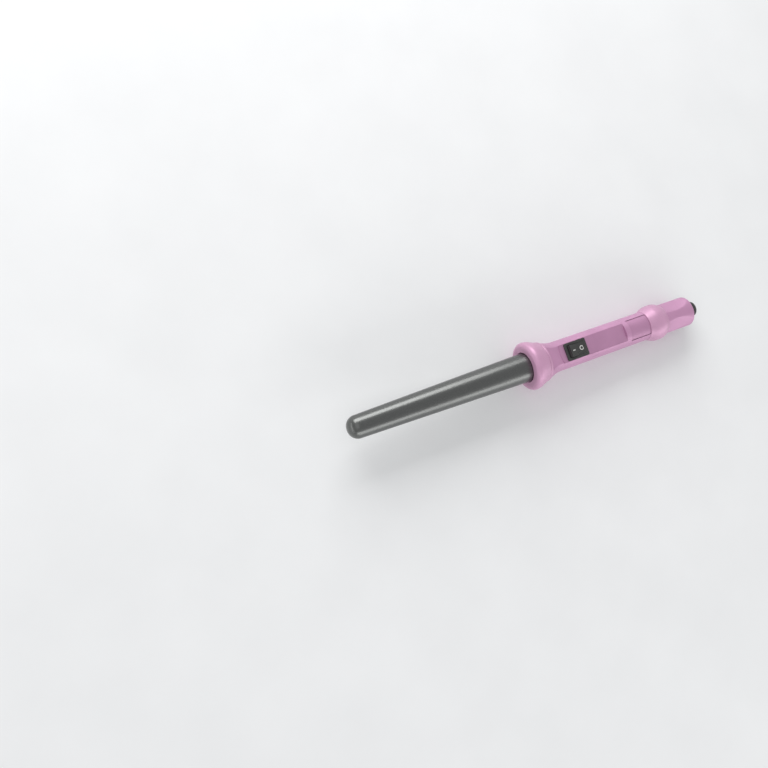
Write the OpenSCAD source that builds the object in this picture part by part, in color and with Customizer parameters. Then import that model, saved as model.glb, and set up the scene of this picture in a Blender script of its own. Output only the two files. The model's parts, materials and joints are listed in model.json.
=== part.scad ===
// Clipless curling wand: a tapered heated barrel, a flared collar that guards the hand, a
// two-part handle with a rocker switch, and a swivelling cord inlet at the tail.
//
// The wand lies along X with its tip at the low end and the switch facing up. A station is a
// distance from the tip along the wand, and a height is measured from the wand's own axis.
// The origin is at the middle of the bounding box, on the surface that the collar rests on.

/* [Barrel] */
// Diameter just behind the rounded tip
tip_d = 19.2; // [15:0.1:24]
// Diameter where the barrel enters the collar
root_d = 25; // [20:0.1:32]
// Length from the tip to the collar's front face
barrel_l = 166.5; // [130:0.5:220]
// Radius of the rounding around the tip
tip_round = 8.6; // [4:0.1:9]
// Thickness of the barrel tube
barrel_wall = 1.2; // [0.8:0.1:1.8]

/* [Heater] */
// Station of the heater's front end
heater_start = 30; // [24:0.5:45]
// Length of the two heat-spreading half rods
heater_l = 100; // [80:1:110]
// Length of one ceramic heating stone
stone_l = 22; // [16:0.5:24]
// Width of the heating stones
stone_w = 11; // [8:0.5:12]
// Thickness of the heating stones
stone_t = 2.2; // [1.5:0.1:2.6]
// Number of heating stones in the row
stone_count = 4; // [3:1:4]

/* [Collar] */
// Length of the front collar
collar_l = 15.4; // [13:0.1:19]
// Thickness of the collar's rounded lip
lip_l = 8.2; // [6:0.1:9]
// Step from the lip down to the flare
lip_step = 0.3; // [0.1:0.1:0.8]
// Wall of the collar and the handle's flare
collar_wall = 2.2; // [1.6:0.1:3]
// Length of the bead ring between the collar and the handle
ring_l = 2.3; // [1.5:0.1:4]
// Thickness of the bead ring's rear edge
ring_wall = 0.95; // [0.7:0.05:2]
// Height of the bead above the flare
bead_h = 0.35; // [0.2:0.05:0.6]
// Fall of the flare's radius for each millimetre along the wand
flare_slope = 0.36; // [0.3:0.01:0.5]
// Radius of the blend from the flare into the grip
flare_round = 30; // [20:1:45]
// Wall of the insulating bush around the barrel's root
bush_wall = 1.45; // [1.2:0.05:2.5]
// Length of the barrel that is gripped inside the collar
root_grip = 12; // [9:0.5:13]

/* [Handle] */
// Diameter at the front of the grip
grip_front_d = 26; // [24:0.1:34]
// Diameter at the rear of the grip
grip_rear_d = 25.3; // [24:0.1:34]
// Wall of the two handle shells
shell_wall = 2; // [1.6:0.1:2.6]
// Length of the rib between the panel and the rear pad
rib_l = 5.1; // [3:0.1:9]
// Length of the rear pad
pad_l = 21.4; // [15:0.1:30]
// Width of the rear pad
pad_w = 18; // [12:0.5:19]
// Depth of the rear pad's surface below the grip
pad_drop = 0.45; // [0.2:0.05:0.8]
// Thickness of the rear pad
pad_t = 1.2; // [0.8:0.1:1.4]

/* [Switch panel] */
// Width of the panel
panel_w = 15.6; // [14:0.1:19]
// Length of the panel
panel_l = 68.6; // [50:0.1:84]
// Thickness of the panel
panel_t = 1.5; // [1:0.1:2]
// Height of the panel's surface above the grip beside it
panel_proud = 0.5; // [0.2:0.05:0.8]
// Radius of the panel's bowed front end
panel_bow = 20; // [14:0.5:28]
// Distance from the panel's front end to the middle of the switch
switch_offset = 16; // [13:0.5:22]

/* [Rocker switch] */
// Length of the switch's rim
rim_l = 21.6; // [20:0.1:26]
// Width of the switch's rim
rim_w = 15.2; // [14.6:0.1:18.6]
// Height of the rim above the panel
rim_h = 1.5; // [1:0.1:2.5]
// Length of the switch body below the rim
switch_l = 19; // [17:0.1:19.4]
// Width of the switch body below the rim
switch_w = 12.8; // [12:0.1:13.2]
// Depth of the switch body below the panel's surface
switch_depth = 11; // [10.5:0.1:13]
// Wall of the switch body
switch_wall = 1.1; // [0.9:0.05:1.3]
// Angle that the rocker leans to each side
rocker_lean = 8; // [6:0.5:9]
// Radius of the rocker's two pivot pins
pivot_r = 1; // [0.8:0.05:1.2]

/* [Tail] */
// Length of the rear collar
rear_collar_l = 20.2; // [17:0.1:26]
// Height of the rear collar's bulge
bulge_h = 2.85; // [2:0.05:4]
// Length of the tail behind the rear collar
tail_l = 29; // [26:0.1:36]
// Wall of the tail at the bottom of its scallops
tail_wall = 1.8; // [1.4:0.1:2.4]
// Depth of the four scallops around the tail
scallop_depth = 1.76; // [1:0.02:2.2]
// Radius of the curve along each scallop
scallop_round = 78; // [60:1:100]

/* [Swivelling cord inlet] */
// Diameter of the hole that takes the cord
inlet_d = 7.2; // [6:0.1:9]
// Wall of the swivel's neck around that hole
neck_wall = 2.4; // [1.6:0.1:3]
// Length of the gland outside the tail
gland_l = 8; // [6:0.1:14]
// Radius of the drum that carries the slip rings
drum_r = 4.4; // [4:0.1:5]
// Height of the slip rings above the drum
slip_ring_h = 1.1; // [0.6:0.1:1.4]

/* [Leads and fasteners] */
// Radius of the insulated leads
lead_r = 0.9; // [0.6:0.05:1.1]
// Radius of the handle screws' heads
head_r = 2.6; // [2:0.1:3]
// Radius of the handle screws' shanks
shank_r = 1.3; // [1:0.05:1.5]

/* [Hidden] */
$fn = 96;

fit = 0.1;          // gap between pieces that are fastened together
running = 0.06;     // radial gap between a shaft and its bearing
loose = 0.4;        // gap around pieces that move freely
over = 1;           // how far a cut runs past the surface it opens
far = 40;           // reach of a cut that runs right through the handle

tip_r = tip_d / 2;
root_r = root_d / 2;
grip_r0 = grip_front_d / 2;
grip_r1 = grip_rear_d / 2;

// Radii of the nested pieces around the barrel's root, from the inside out
bush_r = root_r + fit + bush_wall;
spigot_wall = 1.5;
spigot_r = bush_r + fit + spigot_wall;
collar_bore_r = spigot_r + fit;
flare_angle = atan(flare_slope);
blend_l = flare_round * tan(flare_angle / 2);
flare_end_r = max(collar_bore_r + ring_wall - bead_h, grip_r0 + flare_slope * blend_l);

// Stations of the joints between the pieces, from the tip to the tail
s_collar = barrel_l;
s_ring = s_collar + collar_l;
s_handle = s_ring + ring_l;
s_meet = s_handle + (flare_end_r - grip_r0) / flare_slope;
s_grip = s_meet + blend_l;
s_panel = s_grip - 2;
s_rib = s_panel + panel_l;
s_pad = s_rib + rib_l;
s_rear = s_pad + pad_l + fit;
s_tail = s_rear + rear_collar_l;
s_tail_end = s_tail + tail_l;
s_tail_screw = s_tail + 5;
s_gland = s_tail_end + loose;
total_l = s_gland + gland_l;
s_switch = s_panel + switch_offset;
s_barrel_end = s_collar + root_grip;
s_bush = s_collar + collar_wall + 2;
s_bush_end = s_barrel_end + fit + 3;

lip_back_r = flare_r(s_collar + lip_l) + lip_step;
lip_round = lip_l / 2;
flange_r = lip_back_r + 0.7;

// Heights of the panel, its seat and the flat roof of the handle's hollow
panel_top = sqrt(pow(grip_r0, 2) - pow(panel_w / 2, 2)) + panel_proud;
seat_z = panel_top - panel_t;
roof_z = seat_z - 1.3;
cavity_r = grip_r1 - shell_wall;

// Handle's rear spigot: a wide step inside the collar and a narrow one inside the tail
neck_r = inlet_d / 2 + neck_wall;
neck_bore_r = inlet_d / 2 + 0.4;
thrust_r = neck_r + 3.2;
tail_bore_r = thrust_r + loose;
tail_r = tail_bore_r + tail_wall + scallop_depth;
wide_spigot_r = grip_r1 - 1.45;
wide_bore_r = wide_spigot_r - 1.8;
narrow_spigot_r = tail_bore_r - fit;
narrow_bore_r = narrow_spigot_r - 1.5;
narrow_spigot_l = 10;
rear_step = 1;

// Swivel: the thrust flange runs against a washer on the tail's rear wall
rear_wall_l = 4.6;
washer_t = 0.8;
thrust_l = 3;
s_wall = s_tail_end - rear_wall_l;
s_thrust = s_wall - 2 * fit - washer_t - thrust_l;
slip_ring_l = 3;
slip_ring_pitch = 6.6;
s_slip = s_rear + 5;
slip_ring_r = drum_r + slip_ring_h;
brush_y = slip_ring_r + 1.7;

// Heater: stones between two electrode strips, wrapped in film and wedged into the spreaders
electrode_t = 0.5;
tab_l = 9;
film_t = 0.3;
wedge_t = 0.7;
pack_w = stone_w + 2 * film_t + 4 * fit;
pack_z = stone_t / 2 + electrode_t + film_t + fit;
spreader_gap = 0.15;
pack_start = heater_start + 4;
pack_l = stone_count * (stone_l + 0.5) - 0.5;
stone_pitch = stone_l + 0.5;
pack_end = pack_start + pack_l;

// Switch mechanism
pivot_z = panel_top + rim_h - 2.4;
well_l = 17;
well_w = switch_w - 2 * switch_wall;
rocker_end_r = well_l / 2 - 0.2;
rocker_w = well_w - 0.3;
rocker_top = 2.7;
plunger_reach = 6.5;
arm_t = 0.6;
arm_half = 4.8;
arm_w = 3;
arm_lean = 10;
arm_bead_r = 0.55;
arm_z = pivot_z - plunger_reach - fit - arm_t / 2;
switch_floor = panel_top - switch_depth;
floor_t = 1.2;
catch_w = 5;
catch_h = 1.5;
catch_z = min(roof_z, sqrt(pow(cavity_r, 2) - pow(catch_w / 2, 2))) - fit - catch_h;
blade_w = 4.8;
blade_t = 0.8;
live_x = 6.6;
boot_w = 6.4;
boot_t = 2.8;
boot_floor = 2;
boot_z = -sqrt(pow(cavity_r - 0.5, 2) - pow(boot_w / 2, 2));
boot_top = switch_floor - 1;

// Grub screws around the barrel's root
grub_r = 1.1;

// Lanes for the leads along the floor of the handle, beside the screw bosses
boss_r = 3.3;
lane_y = max(boot_w / 2, boss_r) + lead_r + 0.5;
lane_z = -sqrt(pow(cavity_r - lead_r - 0.5, 2) - pow(lane_y, 2));
boss_stations = [s_switch + 21, s_pad + 3];
head_z = -cavity_r + 0.3;
screw_reach = 8;
head_h = 1.8;
tail_head_h = 1.2;

holder_l = 4;
strip_t = 0.5;
s_holder = s_rear - rear_step - holder_l - fit;
fuse_r = 2;
fuse_l = 11;
fuse_wire_l = 4;
s_fuse = pack_end + 14;
fuse_y = 3;

// Radius of the barrel at a station behind its rounded tip
function barrel_r(s) = tip_r + (root_r - tip_r) * (min(s, s_collar) - tip_round) / (s_collar - tip_round);

// Radius of the cone behind the collar's lip
function flare_r(s) = flare_end_r + flare_slope * (s_handle - s);

// Radius of the grip, which tapers evenly to the rear
function grip_r(s) = grip_r0 + (grip_r1 - grip_r0) * (s - s_grip) / (s_rear - s_grip);

// Points along an arc, each written [radius, station]
function arc(radius, station, r, from, to, steps = 12) =
    [for (i = [0 : steps]) let (a = from + (to - from) * i / steps)
        [radius + r * cos(a), station + r * sin(a)]];

// Frame with its Z along the wand and its X pointing down, at a station
module along(s = 0) {
    translate([s - total_l / 2, 0, flange_r]) rotate([0, 90, 0]) children();
}

// Frame with the part's own directions, at a station on the wand's axis
module at(s, y = 0, z = 0) {
    translate([s - total_l / 2, y, flange_r + z]) children();
}

// Solid of revolution about the wand's axis from [radius, station] points
module turned(points) {
    along() rotate_extrude() polygon(points);
}

// Plain tube about the wand's axis
module tube(s0, s1, outer, inner) {
    along(s0) difference() {
        cylinder(h = s1 - s0, r = outer);
        translate([0, 0, -over]) cylinder(h = s1 - s0 + 2 * over, r = inner);
    }
}

// Box from low to high corner, written [station, y, height]
module block(low, high) {
    at(low[0], low[1], low[2]) cube(high - low);
}

// Everything above or below the wand's axis plane
module half(up) {
    block([-over, -far, up ? 0 : -far], [total_l + over, far, up ? far : 0]);
}

// Directions used to sweep a round section along a path
function unit(v) = v / norm(v);
function heading(p, i) = unit(p[min(i + 1, len(p) - 1)] - p[max(i - 1, 0)]);
function side(t, up) = unit(cross(up, t));

// Round rod along a path of [station, y, height] points, closed at both ends. The up
// direction must never run along the path.
module rod(path, r, up = [0, 0, 1], sides = 8) {
    rings = [for (i = [0 : len(path) - 1])
        let (t = heading(path, i), u = side(t, up), v = cross(t, u))
            [for (k = [0 : sides - 1]) path[i] + r * (cos(360 * k / sides) * u + sin(360 * k / sides) * v)]];
    points = [for (ring = rings) for (q = ring) q];
    last = len(path) - 1;
    walls = [for (i = [0 : last - 1]) for (k = [0 : sides - 1])
        let (m = (k + 1) % sides, a = i * sides, b = a + sides)
            each [[a + k, b + k, b + m], [a + k, b + m, a + m]]];
    caps = [[for (k = [0 : sides - 1]) k], [for (k = [sides - 1 : -1 : 0]) last * sides + k]];
    at(0) polyhedron(points, concat(caps, walls), convexity = 6);
}

// Screw along Z with its head's underside at the origin and its shank pointing up
module screw(head, head_height, shank, length) {
    difference() {
        union() {
            translate([0, 0, -head_height]) cylinder(h = head_height, r = head);
            cylinder(h = length, r = shank);
        }
        for (turn = [0, 90]) rotate([0, 0, turn])
            translate([-head * 0.6, -0.3, -head_height - over]) cube([head * 1.2, 0.6, 0.9 + over]);
    }
}

// Outline of the panel seen from above, with its bowed front end at the origin
module panel_outline(grow) {
    intersection() {
        translate([-grow, -panel_w / 2 - grow]) square([panel_l + 2 * grow, panel_w + 2 * grow]);
        union() {
            translate([panel_bow, 0]) circle(r = panel_bow + grow);
            translate([panel_bow, -panel_w]) square([panel_l, 2 * panel_w]);
        }
    }
}

module barrel() {
    inner_round = tip_round - barrel_wall;
    color("#4b4e4b") difference() {
        turned(concat(
            [[0, 0]],
            arc(tip_r - tip_round, tip_round, tip_round, -90, 0),
            [[root_r, s_collar], [root_r, s_barrel_end], [root_r - barrel_wall, s_barrel_end],
             [root_r - barrel_wall, s_collar]],
            arc(tip_r - tip_round, tip_round, inner_round, 0, -90),
            [[0, barrel_wall]]));
        root_screw_holes();
    }
}

// Tapered rod that fills the barrel over the heater's length
module spreader_rod() {
    along(heater_start) cylinder(h = heater_l,
        r1 = barrel_r(heater_start) - barrel_wall - spreader_gap,
        r2 = barrel_r(heater_start + heater_l) - barrel_wall - spreader_gap);
}

module heat_spreader_upper() {
    color("#c9ccd1") intersection() {
        spreader_rod();
        block([0, -far, pack_z], [total_l, far, far]);
    }
}

module heat_spreader_lower() {
    color("#c9ccd1") intersection() {
        spreader_rod();
        block([0, -far, -far], [total_l, far, -pack_z - wedge_t - fit]);
    }
}

module heating_stones() {
    color("#d8cfc0") for (i = [0 : stone_count - 1])
        block([pack_start + i * stone_pitch, -stone_w / 2, -stone_t / 2],
              [pack_start + i * stone_pitch + stone_l, stone_w / 2, stone_t / 2]);
}

// One strip above the stones and one below, each with a tab that a lead is fixed to
module electrode_strips() {
    color("#b9a05a") for (up = [1, -1]) {
        z = up > 0 ? stone_t / 2 : -stone_t / 2 - electrode_t;
        block([pack_start, -stone_w / 2, z], [pack_end, stone_w / 2, z + electrode_t]);
        block([pack_end - 1, up * fuse_y - 1.5, z], [pack_end + tab_l, up * fuse_y + 1.5, z + electrode_t]);
    }
}

module insulation_film() {
    color("#c47a2c") difference() {
        block([pack_start - 1, -pack_w / 2, -pack_z + fit], [pack_end + 2, pack_w / 2, pack_z - fit]);
        block([pack_start - 1 - over, -pack_w / 2 + film_t, -pack_z + fit + film_t],
              [pack_end + 2 + over, pack_w / 2 - film_t, pack_z - fit - film_t]);
    }
}

module wedge_strip() {
    color("#8f9296") block([pack_start - 2, -stone_w / 2, -pack_z - wedge_t],
                           [pack_end + 4, stone_w / 2, -pack_z]);
}

module thermal_fuse() {
    color("#b5b8bb") {
        along(s_fuse) translate([-stone_t / 2, fuse_y, 0]) cylinder(h = fuse_l, r = fuse_r);
        along(pack_end + tab_l + fit) translate([-stone_t / 2, fuse_y, 0])
            cylinder(h = s_fuse + fuse_l + fuse_wire_l - pack_end - tab_l - fit, r = 0.5);
    }
}

module fuse_sleeve() {
    color("#efe9dc") along(s_fuse - 1) translate([-stone_t / 2, fuse_y, 0]) difference() {
        cylinder(h = fuse_l + 3, r = fuse_r + fit + 0.4);
        translate([0, 0, -over]) cylinder(h = fuse_l + 3 + 2 * over, r = fuse_r + fit);
    }
}

// Heat-resistant bush that holds the barrel's root from inside and outside
module root_bush() {
    plug_r = root_r - barrel_wall - fit;
    plug_wall = 2.2;
    back = s_barrel_end + fit;
    color("#3a3330") difference() {
        turned([[root_r + fit, s_bush], [bush_r, s_bush], [bush_r, s_bush_end],
                [plug_r - plug_wall, s_bush_end], [plug_r - plug_wall, s_bush], [plug_r, s_bush],
                [plug_r, back], [root_r + fit, back]]);
        root_screw_holes();
    }
}

// Three holes around the barrel's root
module root_screw_holes() {
    for (turn = [60, 180, 300])
        at(s_barrel_end - 5) rotate([turn, 0, 0])
            translate([0, 0, root_r - barrel_wall - 2]) cylinder(h = 12, r = grub_r);
}

module root_screws() {
    color("#9b9da0") intersection() {
        root_screw_holes();
        tube(s_collar, s_handle, bush_r, root_r - barrel_wall);
    }
}

// Rounded lip, flare and hollow back of the guard in front of the hand
module front_collar() {
    s_lip = s_collar + lip_l;
    inside = s_collar + collar_wall + 1;
    color("#d8a3c6") turned(concat(
        [[root_r + fit, s_collar]],
        arc(flange_r - lip_round, s_collar + lip_round, lip_round, -90, 0),
        [[lip_back_r, s_lip - 0.3], [flare_r(s_lip), s_lip], [flare_r(s_ring), s_ring],
         [collar_bore_r, s_ring], [collar_bore_r, s_ring - 3],
         [flare_r(inside) - collar_wall, inside], [root_r + fit, inside]]));
}

module bead_ring() {
    crown = flare_r((s_ring + s_handle) / 2) + bead_h;
    color("#e2b4d2") turned([[collar_bore_r, s_ring], [flare_r(s_ring) + bead_h / 2, s_ring],
        [flare_r(s_ring) + bead_h, s_ring + 0.4], [crown, (s_ring + s_handle) / 2],
        [flare_end_r + bead_h, s_handle - 0.4], [flare_end_r + bead_h / 2, s_handle],
        [collar_bore_r, s_handle]]);
}

// Outside of the handle as one solid of revolution, with the spigots at both ends
module handle_form() {
    turned(concat(
        [[0, s_bush], [spigot_r, s_bush], [spigot_r, s_handle], [flare_end_r, s_handle]],
        arc(grip_r0 + flare_round, s_grip, flare_round, 180 + flare_angle, 180),
        [[grip_r1, s_rear], [wide_spigot_r, s_rear], [wide_spigot_r, s_tail],
         [narrow_spigot_r, s_tail], [narrow_spigot_r, s_tail + narrow_spigot_l],
         [0, s_tail + narrow_spigot_l]]));
}

// Hollow of the handle, without its flat roof
module handle_hollow() {
    turned([[0, -over], [bush_r + fit, -over], [bush_r + fit, s_bush_end + fit],
            [cavity_r, s_bush_end + fit], [cavity_r, s_rear - rear_step],
            [wide_bore_r, s_rear - rear_step], [wide_bore_r, s_tail - 2],
            [narrow_bore_r, s_tail - 2], [narrow_bore_r, total_l], [0, total_l]]);
}

// Flat facet that runs down the flare to the front end of the panel
module front_facet() {
    foot = panel_top - 0.4;
    fall = flare_r(s_handle) - 3.65 - foot;
    run = s_panel - s_handle;
    at(s_handle, 0, foot + fall) rotate([0, atan2(fall, run), 0])
        translate([0, -30, 0]) cube([norm([fall, run]) + 1.2, 60, 30]);
}

module switch_window(grow) {
    block([s_switch - switch_l / 2 - grow, -switch_w / 2 - grow, 0],
          [s_switch + switch_l / 2 + grow, switch_w / 2 + grow, far]);
}

module handle_shell_top() {
    color("#c98bb8") difference() {
        union() {
            difference() {
                intersection() {
                    handle_form();
                    half(true);
                }
                difference() {
                    handle_hollow();
                    block([s_bush_end + fit, -far, roof_z], [s_rear - rear_step, far, far]);
                }
            }
            for (s = boss_stations) at(s) cylinder(h = roof_z + 0.5, r = boss_r);
        }
        front_facet();
        at(s_panel, 0, seat_z) linear_extrude(far) panel_outline(fit);
        switch_window(fit);
        intersection() {
            tube(s_pad, s_rear + over, far, pad_floor_r());
            block([s_pad, -pad_w / 2 - fit, 0], [s_rear + over, pad_w / 2 + fit, far]);
        }
        for (s = boss_stations) at(s, 0, -over) cylinder(h = screw_reach + over, r = shank_r);
    }
}

function pad_floor_r() = grip_r1 - pad_drop - pad_t;

module handle_shell_bottom() {
    color("#c98bb8") difference() {
        union() {
            difference() {
                intersection() {
                    handle_form();
                    half(false);
                }
                handle_hollow();
            }
            for (s = boss_stations) at(s, 0, -cavity_r) cylinder(h = cavity_r, r = boss_r);
        }
        for (s = boss_stations) {
            at(s, 0, -far) cylinder(h = far + head_z, r = head_r + fit);
            at(s, 0, head_z - over) cylinder(h = far, r = shank_r + fit);
        }
        at(s_tail_screw, 0, -far) cylinder(h = far, r = shank_r);
    }
}

module handle_screws() {
    color("#85878a") for (s = boss_stations)
        at(s, 0, head_z) screw(head_r, head_h, shank_r, -head_z + screw_reach - 1);
}

module switch_panel() {
    color("#c48ab4") difference() {
        at(s_panel, 0, seat_z) linear_extrude(panel_t) panel_outline(0);
        switch_window(fit);
    }
}

module rear_pad() {
    color("#b87aa8") intersection() {
        tube(s_pad + fit, s_pad + pad_l, grip_r1 - pad_drop, pad_floor_r() + fit / 2);
        block([s_pad, -pad_w / 2, 0], [s_rear, pad_w / 2, far]);
    }
}

module switch_body() {
    color("#2a2b2a") difference() {
        union() {
            block([s_switch - switch_l / 2, -switch_w / 2, switch_floor],
                  [s_switch + switch_l / 2, switch_w / 2, panel_top]);
            block([s_switch - rim_l / 2, -rim_w / 2, panel_top],
                  [s_switch + rim_l / 2, rim_w / 2, panel_top + rim_h]);
            // Catches under the shell's roof
            for (end = [1, -1]) at(s_switch + end * switch_l / 2, 0, catch_z)
                translate([-0.5, -catch_w / 2, 0]) cube([1, catch_w, catch_h]);
        }
        block([s_switch - well_l / 2, -well_w / 2, switch_floor + floor_t],
              [s_switch + well_l / 2, well_w / 2, far]);
        at(s_switch, 0, pivot_z) rotate([90, 0, 0])
            cylinder(h = switch_w + 2, r = pivot_r + running, center = true);
        for (x = [0, live_x]) blade_hole(x);
    }
}

// Slot through the floor of the switch for one terminal blade
module blade_hole(x) {
    block([s_switch + x - blade_t / 2, -blade_w / 2, switch_floor - over],
          [s_switch + x + blade_t / 2, blade_w / 2, switch_floor + floor_t + over]);
}

// Centre blade that carries the contact arm, and the blade with the fixed contact
module switch_terminals() {
    contact_top = arm_z - arm_half * sin(arm_lean) - arm_t / 2 * cos(arm_lean) - 0.06;
    shelf = switch_floor + floor_t;
    shelf_t = 0.4;
    color("#c9a24a") {
        block([s_switch - blade_t / 2, -blade_w / 2, boot_z + boot_floor],
              [s_switch + blade_t / 2, blade_w / 2, arm_z - arm_bead_r - 0.12]);
        block([s_switch + live_x - blade_t / 2, -blade_w / 2, boot_z + boot_floor],
              [s_switch + live_x + blade_t / 2, blade_w / 2, shelf + shelf_t]);
        block([s_switch + 3.4, -1.5, shelf], [s_switch + live_x + blade_t / 2, 1.5, shelf + shelf_t]);
        at(s_switch + 4.4, 0, shelf) cylinder(h = contact_top - shelf, r = 0.9);
    }
}

// Insulating boots over the blades and the crimps inside them
module terminal_boots() {
    color("#d9dde0") difference() {
        for (x = [0, live_x])
            block([s_switch + x - boot_t / 2, -boot_w / 2, boot_z],
                  [s_switch + x + boot_t / 2, boot_w / 2, boot_top]);
        for (x = [0, live_x])
            block([s_switch + x - blade_t / 2, -blade_w / 2, boot_z + boot_floor],
                  [s_switch + x + blade_t / 2, blade_w / 2, boot_top + over]);
    }
}

// Frame of the rocker, leaning to its off side
module rocker_frame() {
    at(s_switch, 0, pivot_z) rotate([0, rocker_lean, 0]) children();
}

// Paddle with a V-shaped top, two pivot pins and a hollow boss for the plunger
module rocker() {
    end_z = rocker_top + rocker_end_r * tan(rocker_lean);
    color("#1f201f") rocker_frame() difference() {
        union() {
            intersection() {
                rotate([90, 0, 0]) linear_extrude(rocker_w, center = true)
                    polygon([[-rocker_end_r, end_z], [0, rocker_top], [rocker_end_r, end_z],
                             [rocker_end_r, -2.2], [-rocker_end_r, -2.2]]);
                rotate([90, 0, 0]) cylinder(h = 30, r = rocker_end_r, center = true);
            }
            rotate([90, 0, 0]) cylinder(h = switch_w - 0.6, r = pivot_r, center = true);
            translate([0, 0, -4.6]) cylinder(h = 4, r = 1.9);
        }
        translate([0, 0, -4.6 - over]) cylinder(h = 5 + over, r = 1.3);
    }
}

module plunger() {
    color("#e6e3da") rocker_frame() {
        translate([0, 0, -plunger_reach + 1]) cylinder(h = 2.6, r = 1);
        translate([0, 0, -plunger_reach + 1]) sphere(r = 1);
    }
}

// Coil that presses the plunger onto the contact arm
module plunger_spring() {
    turns = 4;
    low = -plunger_reach + 3.9;
    high = -0.1;
    lean = rocker_lean;
    helix = [for (i = [0 : turns * 12])
        let (a = 30 * i, z = low + (high - low) * i / (turns * 12), x = 0.85 * cos(a), y = 0.85 * sin(a))
            [s_switch + x * cos(lean) + z * sin(lean), y, pivot_z - x * sin(lean) + z * cos(lean)]];
    color("#a9acb0") rod(helix, 0.2, up = [sin(lean), 0, cos(lean)], sides = 6);
}

// Rocking contact, leaning away from the fixed contact, with a bead below its pivot
module contact_arm() {
    color("#c8793c") at(s_switch, 0, arm_z) rotate([0, -arm_lean, 0]) {
        translate([-arm_half, -arm_w / 2, -arm_t / 2]) cube([2 * arm_half, arm_w, arm_t]);
        intersection() {
            rotate([90, 0, 0]) cylinder(h = arm_w, r = arm_bead_r, center = true);
            translate([-arm_half, -arm_w, -arm_half]) cube([2 * arm_half, 2 * arm_w, arm_half]);
        }
    }
}

module fuse_lead() {
    front = s_fuse + fuse_l + fuse_wire_l + fit;
    lead_z = (boot_top + boot_z) / 2;
    color("#e9e6df") rod([
        [front, fuse_y, stone_t / 2], [front + 6, fuse_y, stone_t / 2],
        [s_collar + 10, 4, 0], [s_handle, 5, lead_z / 2], [s_panel, 4.5, lead_z],
        [s_switch - 8, 2, lead_z], [s_switch - boot_t / 2 - 2.5, 0, lead_z],
        [s_switch - boot_t / 2 - fit, 0, lead_z]], lead_r);
}

module neutral_lead() {
    front = pack_end + tab_l + fit;
    color("#e9e6df") rod([
        [front, -fuse_y, -stone_t / 2 - electrode_t / 2],
        [front + 10, -fuse_y, -stone_t / 2 - electrode_t / 2],
        [s_collar + 10, -4, -3], [s_handle + 6, -lane_y, -5], [s_panel + 4, -lane_y, lane_z],
        [s_switch, -lane_y, lane_z], [s_rib, -lane_y, lane_z], [s_pad + 6, -lane_y, lane_z],
        [s_holder - 4, -brush_y, -4], [s_holder - fit, -brush_y, -4]], lead_r);
}

module live_lead() {
    front = s_switch + live_x + boot_t / 2 + fit;
    lead_z = (boot_top + boot_z) / 2;
    color("#d8d2c6") rod([
        [front, 0, lead_z], [front + 2.5, 0, lead_z], [front + 7, lane_y, lane_z + 2],
        [front + 12, lane_y, lane_z], [s_rib, lane_y, lane_z], [s_pad + 6, lane_y, lane_z],
        [s_holder - 4, brush_y, -4], [s_holder - fit, brush_y, -4]], lead_r);
}

// Disc across the rear of the handle that carries the two brushes
module brush_holder() {
    color("#5a4a3c") difference() {
        intersection() {
            along(s_holder) cylinder(h = holder_l, r = cavity_r - fit);
            block([0, -far, -far], [total_l, far, roof_z - fit]);
        }
        for (y = [brush_y, -brush_y])
            block([s_holder + 1, y - strip_t / 2, -2], [s_rear, y + strip_t / 2, 2]);
    }
}

// One spring strip to each slip ring, with a contact pad at its end
module brushes() {
    color("#c9a24a") for (i = [0, 1]) {
        hand = i == 0 ? 1 : -1;
        ring_s = s_slip + i * slip_ring_pitch + slip_ring_l / 2;
        inner = slip_ring_r + fit;
        block([s_holder + 1, hand * brush_y - strip_t / 2, -2],
              [ring_s + 1, hand * brush_y + strip_t / 2, 2]);
        block([ring_s - 1, min(hand * inner, hand * brush_y), -1],
              [ring_s + 1, max(hand * inner, hand * brush_y), 1]);
    }
}

// Radius of the rear collar: a smooth bulge, steeper behind its crown than ahead of it
function rear_collar_r(s) =
    let (crown = s_rear + rear_collar_l * 0.585,
         reach = s < crown ? crown - s_rear : s_tail + 0.6 - crown,
         t = abs(s - crown) / reach,
         front_r = grip_r1 + 0.4,
         base = front_r + (tail_r - front_r) * (s - s_rear) / rear_collar_l)
    base + bulge_h * pow(1 - pow(t, 3), 2);

module rear_collar() {
    steps = 28;
    color("#d39cc2") turned(concat(
        [for (i = [0 : steps]) let (s = s_rear + rear_collar_l * i / steps) [rear_collar_r(s), s]],
        [[wide_spigot_r + fit, s_tail], [wide_spigot_r + fit, s_rear]]));
}

// Tail with four long scallops, a rear wall and the bearing for the swivel's neck
module tail_housing() {
    s_deep = s_tail + tail_l * 0.35;
    chamfer = 1.2;
    color("#cb8fba") difference() {
        turned([[tail_bore_r, s_tail], [tail_r, s_tail], [tail_r, s_tail_end - chamfer],
                [tail_r - chamfer, s_tail_end], [neck_r + running, s_tail_end],
                [neck_r + running, s_wall], [tail_bore_r, s_wall]]);
        for (turn = [45, 135, 225, 315])
            at(s_deep) rotate([turn, 0, 0]) translate([0, 0, tail_r - scallop_depth + scallop_round])
                rotate([90, 0, 0]) cylinder(h = 30, r = scallop_round, center = true, $fn = 200);
        at(s_tail_screw, 0, -tail_r - over) cylinder(h = tail_r, r = shank_r + fit);
        at(s_tail_screw, 0, -tail_r - over) cylinder(h = tail_head_h + over, r = head_r);
    }
}

module tail_screw() {
    color("#85878a") at(s_tail_screw, 0, -tail_r + tail_head_h)
        screw(head_r - fit, tail_head_h, shank_r, tail_r - tail_head_h - narrow_bore_r);
}

module swivel_bearing() {
    color("#efe9dc") tube(s_tail, s_tail + narrow_spigot_l - 0.5, narrow_bore_r - fit, drum_r + running);
}

module thrust_washer() {
    color("#f2efe6") tube(s_wall - fit - washer_t, s_wall - fit, thrust_r, neck_r + 0.3);
}

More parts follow.
